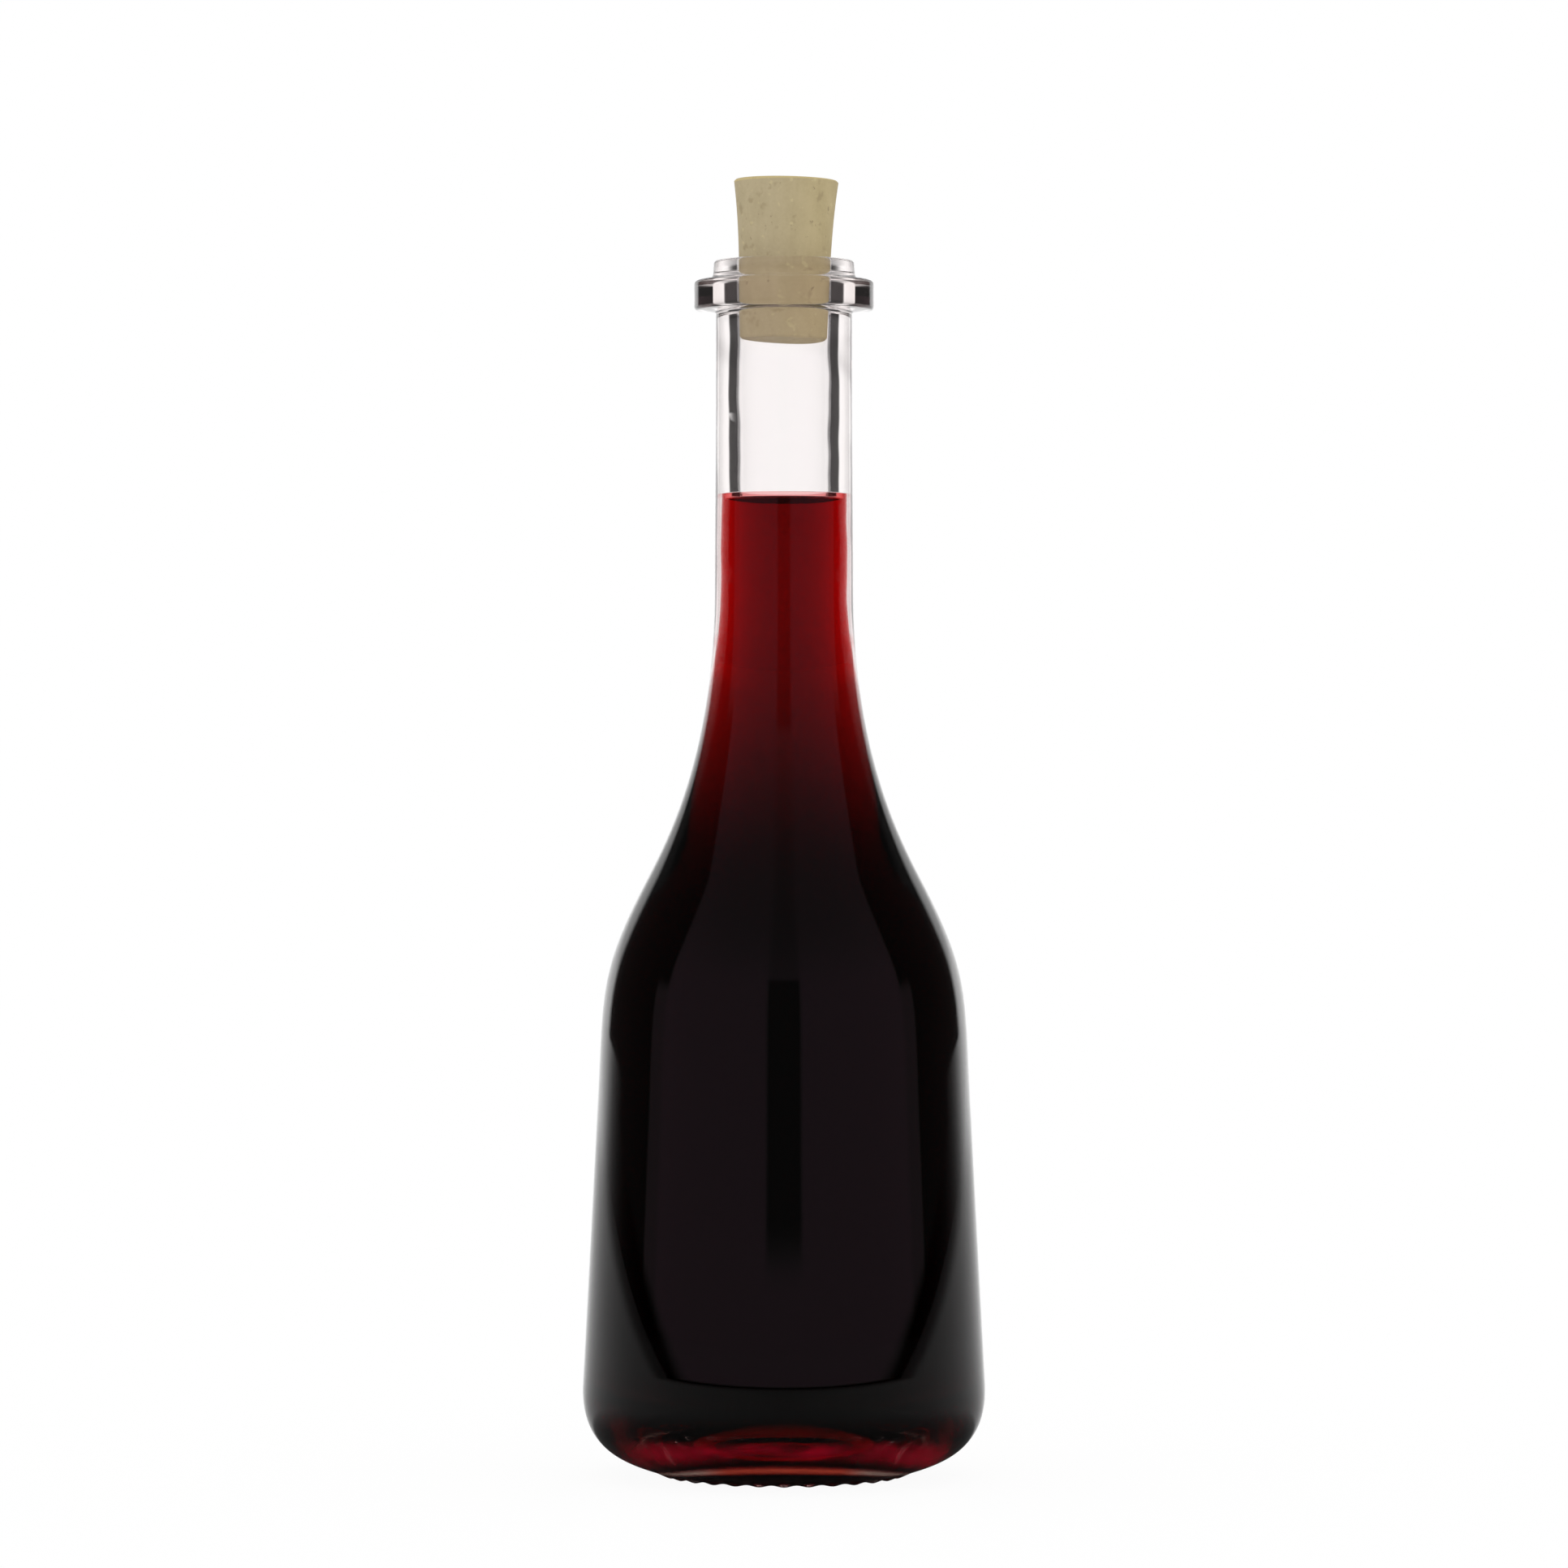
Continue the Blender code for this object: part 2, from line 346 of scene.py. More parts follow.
class Shader:
    """A node tree that a finish is built in."""

    def __init__(self, owner):
        owner.use_nodes = True
        self.tree = owner.node_tree
        self.tree.nodes.clear()

    def node(self, kind, settings=None, inputs=None, output=0):
        """Adds a node of a type with its settings, then its inputs, and gives one of its outputs."""
        made = self.tree.nodes.new(kind)
        for key, setting in (settings or {}).items():
            setattr(made, key, setting)
        for key, value in (inputs or {}).items():
            if isinstance(value, Value):
                self.tree.links.new(value.socket, made.inputs[key])
            else:
                made.inputs[key].default_value = value
        return Value(self, made.outputs[output]) if made.outputs else None

    def mixed(self, share, first, second, blend="MIX"):
        """One colour over another by a share."""
        settings = {"data_type": "RGBA", "blend_type": blend, "clamp_factor": True}
        return self.node("ShaderNodeMix", settings, {0: share, 6: first, 7: second}, 2)

    def fade(self, value, start, end):
        """0 up to start, 1 from end on, and an even curve between."""
        inputs = {"Value": value, "From Min": start, "From Max": end}
        return self.node("ShaderNodeMapRange", {"interpolation_type": "SMOOTHSTEP"}, inputs)

    def place(self, scale=(1.0, 1.0, 1.0), shift=(0.0, 0.0, 0.0)):
        """The piece's own coordinates in metres, moved and then stretched."""
        here = self.node("ShaderNodeTexCoord", output="Object")
        moved = self.node("ShaderNodeVectorMath", {"operation": "ADD"}, {0: here, 1: shift})
        return self.node("ShaderNodeMapping", None, {"Vector": moved, "Scale": scale})

    def noise(self, size, detail=2.0, roughness=0.5, stretch=(1.0, 1.0, 1.0), shift=(0.0, 0.0, 0.0)):
        """Cloudy noise with lumps of about a size in metres."""
        vector = self.place(stretch, shift)
        inputs = {"Vector": vector, "Scale": 1.0 / size, "Detail": detail, "Roughness": roughness}
        return self.node("ShaderNodeTexNoise", None, inputs)

    def mark(self, name):
        """The number that a piece's faces carry under a name."""
        return self.node("ShaderNodeAttribute", {"attribute_name": name}, output=2)

    def matt(self, colour):
        """A finish of one colour without any shine."""
        return self.node("ShaderNodeBsdfPrincipled", None, {
            "Base Color": colour,
            "Roughness": 1.0,
            "Specular IOR Level": 0.0,
        })

    def parts_of(self, vector):
        """The X, Y and Z of a vector."""
        split = self.node("ShaderNodeSeparateXYZ", None, {0: vector})
        return [Value(self, socket) for socket in split.socket.node.outputs]

    def finish(self, kind, **sockets):
        """Joins a shader to the tree's output."""
        for name, value in sockets.items():
            self.tree.links.new(value.socket, self.output(kind).inputs[name])

    def output(self, kind):
        """The tree's output node of a type, made when it is first asked for."""
        for made in self.tree.nodes:
            if made.bl_idname == kind:
                return made
        return self.tree.nodes.new(kind)


# Outlines

def cubic(start, start_pull, end_pull, end, count):
    """Points of a cubic curve, both ends included, as (radius, height)."""
    points = []
    for step in range(count + 1):
        t = step / count
        s = 1.0 - t
        weights = (s**3, 3 * s * s * t, 3 * s * t * t, t**3)
        controls = (start, start_pull, end_pull, end)
        radius = sum(w * p[0] for w, p in zip(weights, controls))
        height = sum(w * p[1] for w, p in zip(weights, controls))
        points.append((radius, height))
    return points


def straight(start, end, count):
    """Evenly spaced points of a straight run, both ends included."""
    steps = [step / count for step in range(count + 1)]
    return [(start[0] + (end[0] - start[0]) * t, start[1] + (end[1] - start[1]) * t) for t in steps]


def shifted(point, angle, length):
    """The point moved along a line that runs down and out at the angle from the vertical."""
    return (point[0] + length * math.sin(angle), point[1] - length * math.cos(angle))


def rounded(corners):
    """Points of an outline with arcs at its corners, each (radius, height, rounding, arc's steps)."""
    points = []
    for i, (radius, height, rounding, count) in enumerate(corners):
        if count == 0:
            points.append((radius, height))
            continue
        before = corners[i - 1]
        after = corners[i + 1]
        into = (before[0] - radius, before[1] - height)
        out = (after[0] - radius, after[1] - height)
        into_length = math.hypot(*into)
        out_length = math.hypot(*out)
        into = (into[0] / into_length, into[1] / into_length)
        out = (out[0] / out_length, out[1] / out_length)
        half = math.acos(into[0] * out[0] + into[1] * out[1]) / 2
        centre_way = (into[0] + out[0], into[1] + out[1])
        scale = rounding / math.sin(half) / math.hypot(*centre_way)
        centre = (radius + centre_way[0] * scale, height + centre_way[1] * scale)
        tangent = rounding / math.tan(half)
        first = (radius + into[0] * tangent, height + into[1] * tangent)
        last = (radius + out[0] * tangent, height + out[1] * tangent)
        first_angle = math.atan2(first[1] - centre[1], first[0] - centre[0])
        last_angle = math.atan2(last[1] - centre[1], last[0] - centre[0])
        turn = (last_angle - first_angle + math.pi) % math.tau - math.pi
        for step in range(count + 1):
            angle = first_angle + turn * step / count
            points.append((centre[0] + rounding * math.cos(angle), centre[1] + rounding * math.sin(angle)))
    return points


def joined(*runs):
    """The runs of points as one outline, each shared end kept once."""
    outline = []
    for run in runs:
        for point in run:
            if not outline or math.dist(point, outline[-1]) > SAME_POINT:
                outline.append(point)
    return outline


def moved_inward(points, first_wall, last_wall):
    """The points of an outer curve moved inward along its normals by the wall's thickness."""
    moved = []
    for i, (radius, height) in enumerate(points):
        before = points[max(i - 1, 0)]
        after = points[min(i + 1, len(points) - 1)]
        run = (after[0] - before[0], after[1] - before[1])
        length = math.hypot(*run)
        wall = first_wall + (last_wall - first_wall) * i / (len(points) - 1)
        moved.append((radius + run[1] / length * wall, height - run[0] / length * wall))
    return moved


def shoulder(upper_count, lower_count):
    """The S from the neck down to the body, as its upper and its lower curve."""
    neck = (NECK_LOW_RADIUS, NECK_LOW)
    middle = (SHOULDER_MID_RADIUS, SHOULDER_MID)
    body = (BODY_TOP_RADIUS, BODY_TOP)
    flare_pull = shifted(middle, SHOULDER_SLOPE, -FLARE_PULL)
    upper = cubic(neck, shifted(neck, 0.0, NECK_PULL), flare_pull, middle, upper_count)
    round_pull = shifted(middle, SHOULDER_SLOPE, ROUND_PULL)
    lower = cubic(middle, round_pull, shifted(body, CONE_SLOPE, -BODY_PULL), body, lower_count)
    return upper, lower


def inner_wall():
    """The inside of the glass from the bottom of the neck down to the middle of the floor."""
    upper, lower = shoulder(*INNER_SHOULDER_STEPS)
    upper = moved_inward(upper, NECK_LOW_RADIUS - BORE_RADIUS, BODY_WALL)
    lower = moved_inward(lower, BODY_WALL, BODY_WALL)
    heel_radius = BODY_TOP_RADIUS + (BODY_TOP - INNER_HEEL_TOP) * math.tan(CONE_SLOPE) - BODY_WALL
    heel = (heel_radius, INNER_HEEL_TOP)
    floor = (FLOOR_EDGE_RADIUS, FLOOR_EDGE)
    side = straight(lower[-1], heel, BODY_SIDE_STEPS)
    floor_pull = (floor[0] + FLOOR_PULL, floor[1])
    corner = cubic(heel, shifted(heel, CONE_SLOPE, INNER_HEEL_PULL), floor_pull, floor, INNER_HEEL_STEPS)
    flat_pull = (FLOOR_EDGE_RADIUS * FLOOR_FLAT_SHARE, FLOOR_EDGE)
    centre_pull = (FLOOR_EDGE_RADIUS * FLOOR_CENTRE_SHARE, FLOOR_CENTRE)
    middle = cubic(floor, flat_pull, centre_pull, (0.0, FLOOR_CENTRE), FLOOR_STEPS)
    return joined(upper, lower, side, corner, middle)


def outer_wall():
    """The outside of the glass from the neck's waist down and under the foot to the middle."""
    waist = (NECK_WAIST_RADIUS, NECK_WAIST)
    neck = (NECK_LOW_RADIUS, NECK_LOW)
    waist_pull = shifted(waist, 0.0, NECK_SIDE_PULL)
    neck_side = cubic(waist, waist_pull, shifted(neck, 0.0, -NECK_SIDE_PULL), neck, NECK_SIDE_STEPS)
    upper, lower = shoulder(*OUTER_SHOULDER_STEPS)
    heel = (HEEL_RADIUS, HEEL_TOP)
    foot = (FOOT_RADIUS, KNURL_ROOM)
    foot_pull = shifted(foot, FOOT_SLOPE + math.pi / 2, FOOT_PULL)
    side = straight(lower[-1], heel, BODY_SIDE_STEPS)
    corner = cubic(heel, shifted(heel, HEEL_SLOPE, HEEL_PULL), foot_pull, foot, HEEL_STEPS)
    under_edge = (FOOT_INNER_RADIUS, KNURL_ROOM + UNDER_RISE)
    under_pull = shifted(under_edge, UNDER_SLOPE, UNDER_PULL)
    under = cubic(foot, (FOOT_RADIUS - FOOT_UNDER_PULL, KNURL_ROOM), under_pull, under_edge, UNDER_STEPS)
    rise_pull = shifted(under_edge, UNDER_SLOPE, -RISE_PULL)
    rise = cubic(under_edge, rise_pull, (FOOT_INNER_RADIUS / 2, PUSH_UP), (0.0, PUSH_UP), RISE_STEPS)
    return joined(neck_side, upper, lower, side, corner, under, rise)


def mouth():
    """The bore's top, the lip and the ring, down to the neck's waist."""
    corners = [
        (BORE_RADIUS, LIP_TOP - MOUTH_DEPTH, 0.0, 0),
        (BORE_RADIUS, LIP_TOP, MOUTH_ROUND, 6),
        (LIP_RADIUS - LIP_FLARE, LIP_TOP, LIP_ROUND, 6),
        (LIP_RADIUS, RING_TOP, LIP_FILLET, 10),
        (RING_RADIUS, RING_TOP, RING_ROUND, 7),
        (RING_RADIUS, RING_BOTTOM, RING_ROUND, 7),
        (NECK_WAIST_RADIUS, RING_BOTTOM - RING_UNDERCUT, RING_FILLET, 10),
        (NECK_WAIST_RADIUS, NECK_WAIST, 0.0, 0),
    ]
    return rounded(corners)


def glass_outline(contact):
    """The closed outline of the glass, from the middle of the floor up past the drink, over and down."""
    inside = inner_wall()
    inside.reverse()
    edge = (BORE_RADIUS, contact)
    wet = straight(inside[-1], edge, WET_STEPS)
    dry = straight(edge, (BORE_RADIUS, LIP_TOP - MOUTH_DEPTH), DRY_STEPS)
    return joined(inside, wet, dry, mouth(), outer_wall())


def drink_outline(level):
    """The drink from the middle of its level out, down the wall and in along the floor."""
    reach = BORE_RADIUS + WALL_REACH
    edge = BOWL_RADIUS
    surface = []
    for step in range(SURFACE_RINGS + 1):
        radius = edge * step / SURFACE_RINGS
        surface.append((radius, level + BOWL * (radius / edge) ** 3))
    for step in range(1, CORNER_RINGS + 1):
        turn = math.pi / 2 * step / CORNER_RINGS
        surface.append((edge + CORNER * math.sin(turn), level + BOWL + CORNER * (1.0 - math.cos(turn))))
    film = straight(surface[-1], (BORE_RADIUS - FILM, level + CONTACT), FILM_STEPS)
    surface = joined(surface, film, [(reach, level + CONTACT)])
    wall = moved_inward(inner_wall(), -WALL_REACH, -WALL_REACH)
    wall[-1] = (0.0, FLOOR_CENTRE - WALL_REACH)
    return joined(surface, straight(surface[-1], wall[0], WET_STEPS), wall)


def cork_outline():
    """The cork from the middle of its top down its tapered side to the middle of its bottom."""
    top = straight((0.0, CORK_TOP), (CORK_TOP_RADIUS - CORK_EDGE, CORK_TOP), CORK_TOP_STEPS)
    mouth_point = (CORK_MOUTH_RADIUS, LIP_TOP)
    top_pull = (CORK_TOP_RADIUS - CORK_TOP_DRAW, CORK_TOP - CORK_SIDE_PULL)
    mouth_pull = (CORK_MOUTH_RADIUS + CORK_MOUTH_DRAW, LIP_TOP + CORK_SIDE_PULL)
    top_point = (CORK_TOP_RADIUS, CORK_TOP - CORK_EDGE)
    side = cubic(top_point, top_pull, mouth_pull, mouth_point, CORK_SIDE_STEPS)
    lower = straight(mouth_point, (CORK_BOTTOM_RADIUS, CORK_BOTTOM + CORK_EDGE), CORK_SIDE_STEPS)
    bottom = straight((CORK_BOTTOM_RADIUS - CORK_EDGE, CORK_BOTTOM), (0.0, CORK_BOTTOM), CORK_BOTTOM_STEPS)
    return joined(top, side, lower, bottom)


# Modelling

def turned(name, outline, steps):
    """A closed piece spun about the bottle's axis from an outline of (radius, height) points."""
    bpy.ops.object.select_all(action="DESELECT")
    bpy.ops.mesh.primitive_plane_add(size=MM)
    piece = bpy.context.object
    piece.name = name
    piece.data.name = name
    bpy.ops.object.mode_set(mode="EDIT")
    bpy.ops.mesh.select_mode(type="VERT")
    bpy.ops.mesh.select_all(action="SELECT")
    bpy.ops.mesh.merge(type="CENTER")
    bpy.ops.transform.translate(value=(outline[0][0], 0.0, outline[0][1]))
    for before, after in zip(outline, outline[1:]):
        step = (after[0] - before[0], 0.0, after[1] - before[1])
        bpy.ops.mesh.extrude_region_move(TRANSFORM_OT_translate={"value": step})
    bpy.ops.mesh.select_all(action="SELECT")
    bpy.ops.mesh.spin(steps=steps, angle=math.tau, center=(0.0, 0.0, 0.0), axis=(0.0, 0.0, 1.0))
    bpy.ops.mesh.select_all(action="SELECT")
    bpy.ops.mesh.remove_doubles(threshold=MERGE)
    bpy.ops.mesh.normals_make_consistent(inside=False)
    bpy.ops.object.mode_set(mode="OBJECT")
    bpy.ops.object.shade_smooth_by_angle(angle=SHARP_EDGE)
    return piece


def pressed(piece, name, direction, distance, share):
    """Moves each vertex by its share, from 0 to 1, of a distance along a direction."""
    group = piece.vertex_groups.new(name=name)
    for vertex in piece.data.vertices:
        weight = share(vertex.co)
        if weight > 0.0:
            group.add([vertex.index], min(weight, 1.0), "REPLACE")
    press = piece.modifiers.new(name, "DISPLACE")
    press.direction = direction
    press.mid_level = 0.0
    press.strength = distance
    press.vertex_group = group.name
    bpy.context.view_layer.objects.active = piece
    bpy.ops.object.modifier_apply(modifier=press.name)
    piece.vertex_groups.clear()


def bore_wave(point):
    """How far the inside of the neck stands in at a point, from 0 to 1."""
    radius = math.hypot(point.x, point.y)
    height = point.z / MM
    inward, outward = WAVE_REACH
    if not BORE_RADIUS - inward < radius < BORE_RADIUS + outward or height < WAVE_START:
        return 0.0
    azimuth = math.atan2(point.y, point.x)
    swing = math.sin(height / MAIN_WAVE + MAIN_WAVE_SWAY * math.sin(azimuth))
    for strength, length, turns, phase in SIDE_WAVES:
        swing += strength * math.sin(height / length + turns * azimuth + phase)
    lower_fade = min((height - WAVE_START) / WAVE_START_FADE, 1.0)
    upper_fade = min(max((WAVE_END - height) / WAVE_END_FADE, 0.0), 1.0)
    return lower_fade * upper_fade * (0.5 + swing / WAVE_RANGE)


def marked(piece, name, chosen):
    """Marks the chosen faces with 1 and the others with 0, for the piece's finish."""
    mark = piece.data.attributes.new(name, "FLOAT", "FACE")
    for face, carrier in zip(piece.data.polygons, mark.data):
        carrier.value = float(chosen(face))


def dressed(piece, node, material):
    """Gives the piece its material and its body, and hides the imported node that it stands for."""
    piece.data.materials.clear()
    piece.data.materials.append(material)
    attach(piece, "root")
    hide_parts(node)


# Finishes

def clear_glass(settings, drink_bending):
    """Clear moulded glass with faint waves. Its wet faces bend light as glass does against the drink."""
    material = bpy.data.materials.new("clear_glass")
    shader = Shader(material)
    waves = shader.noise(GLASS_WAVE, 2.0, 0.5, (1.0, 1.0, 0.45))
    # The glass's own haze: noise that varies its tint and roughness slightly
    haze_and_painted_glow = shader.noise(GLASS_HAZE, 3.0, 0.6)
    ripple = {"Strength": GLASS_WAVE_STRENGTH, "Distance": GLASS_WAVE_DEPTH, "Height": waves}
    bump = shader.node("ShaderNodeBump", None, ripple)
    low = (*(part * dim for part, dim in zip(settings.tint, GLASS_HAZE_TINT)), 1.0)
    sockets = {
        "Base Color": shader.mixed(haze_and_painted_glow, low, (*settings.tint, 1.0)),
        "Roughness": haze_and_painted_glow * GLASS_ROUGHNESS,
        "Normal": bump,
        "Transmission Weight": 1.0,
    }
    dry = shader.node("ShaderNodeBsdfPrincipled", None, {**sockets, "IOR": settings.bending})
    wet = shader.node("ShaderNodeBsdfPrincipled", None, {**sockets, "IOR": settings.bending / drink_bending})
    surface = shader.node("ShaderNodeMixShader", None, {0: shader.mark("wet"), 1: dry, 2: wet})
    tinge = {"Color": (*settings.tinge, 1.0), "Density": settings.thickness}
    body = shader.node("ShaderNodeVolumeAbsorption", None, tinge)
    shader.finish("ShaderNodeOutputMaterial", Surface=surface, Volume=body)
    return material


def red_liquid(settings):
    """Clear red drink whose colour deepens with its depth.

    Its side bends no light, as the glass there does. It has rings of painted glow low down, which stand in
    for light that comes through the base, and painted shade on top: a dark matt sheet.
    """
    material = bpy.data.materials.new("red_liquid")
    shader = Shader(material)
    cloud = shader.noise(CLOUD, 3.0, 0.5)
    sockets = {
        "Base Color": shader.mixed(cloud, CLOUD_TINT, WHITE),
        "Roughness": cloud * CLOUD_ROUGHNESS,
        "Transmission Weight": 1.0,
    }
    red = {"Color": (*settings.colour, 1.0), "Density": settings.depth}
    body = shader.node("ShaderNodeVolumeAbsorption", None, red)
    side = shader.node("ShaderNodeBsdfPrincipled", None, {**sockets, "IOR": 1.0})
    top = shader.node("ShaderNodeBsdfPrincipled", None, {**sockets, "IOR": settings.bending})
    clear = shader.node("ShaderNodeMixShader", None, {0: shader.mark("open"), 1: side, 2: top})

    # Painted glow: matt rings low in the drink, a wide red one in patches and a thin bright one, stand in
    # for light that comes through the base
    x, y, z = shader.parts_of(shader.place())
    radius = (x * x + y * y) ** 0.5
    painted_glow_ring = 1.0 - shader.fade(abs(radius - PAINTED_GLOW_RING), 0.0, PAINTED_GLOW_RING_WIDTH)
    ember_ring = 1.0 - shader.fade(abs(radius - EMBER_RING), 0.0, EMBER_RING_WIDTH)
    patches = shader.fade(shader.noise(PAINTED_GLOW_PATCH, 3.0, 0.5, (1.0, 1.0, 3.0)), *PAINTED_GLOW_PATCH_SPAN)
    patches = patches * (1.0 - PAINTED_GLOW_PATCH_LEAST) + PAINTED_GLOW_PATCH_LEAST
    low = 1.0 - shader.fade(z, PAINTED_GLOW_TOP - PAINTED_GLOW_TOP_FADE, PAINTED_GLOW_TOP)
    rings = (painted_glow_ring * patches + ember_ring) * low
    # Painted highlight: the bright ring turns pale at its ends to the left and right
    ends = shader.fade(abs(x), PALE_START, PALE_END)
    ember = shader.mixed(ends, (*settings.ember, 1.0), (*settings.pale, 1.0))
    tone = shader.mixed(ember_ring, (*settings.haze_and_painted_glow, 1.0), ember)

    # Painted shade: a dark matt sheet over the open bowl of the drink's surface
    painted_shade = shader.fade(z, settings.level - PAINTED_SHADE_START, settings.level - PAINTED_SHADE_END)
    painted_shade = painted_shade * (1.0 - shader.fade(radius, BOWL_RADIUS - PAINTED_SHADE_EDGE, BOWL_RADIUS))
    haze_and_painted_glow = shader.matt(tone)
    dark = shader.matt(PAINTED_SHADE_COLOUR)
    dull = shader.node("ShaderNodeMixShader", None, {0: painted_shade, 1: haze_and_painted_glow, 2: dark})
    share = rings * settings.painted_glow_strength + painted_shade * PAINTED_SHADE
    surface = shader.node("ShaderNodeMixShader", None, {0: share, 1: clear, 2: dull})
    shader.finish("ShaderNodeOutputMaterial", Surface=surface, Volume=body)
    return material


def pressed_cork(name, settings):
    """Fine pale cork with faint grains and streaks, dark pores and spots, and a few pale dots."""
    material = bpy.data.materials.new(name)
    shader = Shader(material)
    x, _, z = shader.parts_of(shader.place())
    grain = shader.noise(GRAIN, 4.0, 0.6)
    blocks = shader.noise(BLOCK, 2.0, 0.4, (1.0, 1.0, 0.55))
    streaks = shader.noise(STREAK, 3.0, 0.5, (1.0, 1.0, 0.18))
    tone = grain * GRAIN_SHARE + blocks * BLOCK_SHARE + streaks * STREAK_SHARE
    colour = shader.mixed(shader.fade(tone, *TONE_SPAN), (*settings.dark, 1.0), (*settings.pale, 1.0))
    warm = shader.fade(x, WARM_START, WARM_END)
    colour = shader.mixed(warm * WARM_SHARE, colour, WARM_TINT, "MULTIPLY")
    holes = shader.fade(shader.noise(PORE, 3.0, 0.6, (1.0, 1.0, 0.7), (0.0, 0.03, 0.0)), *PORE_SPAN)
    colour = shader.mixed(holes * PORE_SHARE, colour, PORE_COLOUR)
    spots = shader.fade(shader.noise(SPOT, 2.0, 0.5, (1.0, 1.0, 0.9), (0.012, 0.0, 0.004)), *SPOT_SPAN)
    colour = shader.mixed(spots * SPOT_SHARE, colour, SPOT_COLOUR)
    dots = shader.fade(shader.noise(DOT, 1.0, 0.4, (1.0, 1.0, 1.0), (0.0, 0.02, 0.011)), *DOT_SPAN)
    colour = shader.mixed(dots * DOT_SHARE, colour, DOT_COLOUR)
    edge = shader.fade(z, CORK_TOP - TOP_EDGE_START, CORK_TOP - TOP_EDGE_END)
    colour = shader.mixed(edge * TOP_EDGE_SHARE, colour, TOP_EDGE_COLOUR)
    height = grain * 0.4 + streaks * 0.3 - holes * 1.5
    relief = {"Strength": CORK_RELIEF, "Distance": CORK_RELIEF_DEPTH, "Height": height}
    bump = shader.node("ShaderNodeBump", None, relief)
    sockets = {
        "Base Color": colour,
        "Roughness": CORK_ROUGHNESS + grain * CORK_ROUGHNESS_RANGE,
        "Normal": bump,
        "Specular IOR Level": CORK_SHINE,
    }
    surface = shader.node("ShaderNodeBsdfPrincipled", None, sockets)
    shader.finish("ShaderNodeOutputMaterial", Surface=surface)
    return material


# Studio light

def floor_glow(settings, azimuth, sharpness):
    """Brightness of the floor by its way round from the backdrop's middle.

    A higher sharpness makes it end more suddenly to the sides.
    """
    return settings.backdrop / (1.0 + (azimuth / FLOOR_GLOW_WIDTH) ** sharpness)


def with_soft_light(shader, settings, glow, seen_glow):
    """The glow as glass sees it, an even light for dull surfaces, and a pale one for the camera.

    Gives the brightness, and 1 where glass looks and 0 for the camera and for dull surfaces.
    """
    path = shader.node("ShaderNodeLightPath")
    seen = Value(shader, path.socket.node.outputs["Is Camera Ray"])
    dull = Value(shader, path.socket.node.outputs["Diffuse Depth"]) > 0.5
    inside = Value(shader, path.socket.node.outputs["Transmission Depth"]) > 0.5
    soft = settings.soft * (1.0 + inside * SOFT_IN_GLASS)
    glow = glow + dull * (soft - glow)
    return glow + seen * (seen_glow - glow), (1.0 - dull) * (1.0 - seen)


# Settings

class BottleGlassSettings(bpy.types.PropertyGroup):
    knurls: bpy.props.IntProperty(name="Knurls", description="Knurls round the foot", default=30, min=0)
    knurl_depth: bpy.props.FloatProperty(name="Knurl depth", description="How far each knurl stands out",
                                         default=KNURL_ROOM, unit="LENGTH", precision=5)
    wave: bpy.props.FloatProperty(name="Bore waves", description="How uneven the inside of the neck is",
                                  default=0.22 * MM, unit="LENGTH", precision=5)
    bending: bpy.props.FloatProperty(name="Bending of light", description="Refractive index of the glass",
                                     default=1.5)
    tint: bpy.props.FloatVectorProperty(name="Tint", description="Colour of light through the glass",
                                        default=(0.995, 0.99, 0.99), subtype="COLOR", min=0.0, max=1.0)
    tinge: bpy.props.FloatVectorProperty(name="Tinge", description="Colour that thick glass lets through",
                                         default=(0.6, 0.3, 0.22), subtype="COLOR", min=0.0, max=1.0)
    thickness: bpy.props.FloatProperty(name="Depth of tinge",
                                       description="How fast the glass takes up light, per metre",
                                       default=10.0)


class BottleDrinkSettings(bpy.types.PropertyGroup):
    level: bpy.props.FloatProperty(name="Level", description="Height of the drink's surface",
                                   default=DRINK_LEVEL, unit="LENGTH", precision=5)
    colour: bpy.props.FloatVectorProperty(name="Colour", description="Colour that the drink lets through",
                                          default=(0.865, 0.0, 0.0), subtype="COLOR", min=0.0, max=1.0)
    depth: bpy.props.FloatProperty(name="Depth of colour",
                                   description="How fast the drink takes up light, per metre",
                                   default=900.0)
    bending: bpy.props.FloatProperty(name="Bending of light", description="Refractive index of the drink",
                                     default=1.346)
    # Colour of the painted glow low in the drink
    haze_and_painted_glow: bpy.props.FloatVectorProperty(name="Haze", description="Colour of the haze low in the drink",
                                        default=(0.6, 0.0, 0.025), subtype="COLOR", min=0.0, max=1.0)
    # Colour of the painted glow's bright ring
    ember: bpy.props.FloatVectorProperty(name="Ember", description="Colour of the bright ring in the haze",
                                         default=(1.0, 0.13, 0.07), subtype="COLOR", min=0.0, max=1.0)
    # Colour of the bright ring's ends, a painted highlight
    pale: bpy.props.FloatVectorProperty(name="Pale ends", description="Colour of the bright ring's ends",
                                        default=(0.8, 0.6, 0.5), subtype="COLOR", min=0.0, max=1.0)
    # Strength of the painted glow
    painted_glow_strength: bpy.props.FloatProperty(name="Cloudiness", description="Strength of the haze",
                                        default=PAINTED_GLOW)


class BottleCorkSettings(bpy.types.PropertyGroup):
    pale: bpy.props.FloatVectorProperty(name="Pale grain", description="Colour of the cork's pale grains",
                                        default=(0.47, 0.392, 0.246), subtype="COLOR", min=0.0, max=1.0)
    dark: bpy.props.FloatVectorProperty(name="Dark grain", description="Colour of the cork's dark grains",
                                        default=(0.42, 0.348, 0.212), subtype="COLOR", min=0.0, max=1.0)


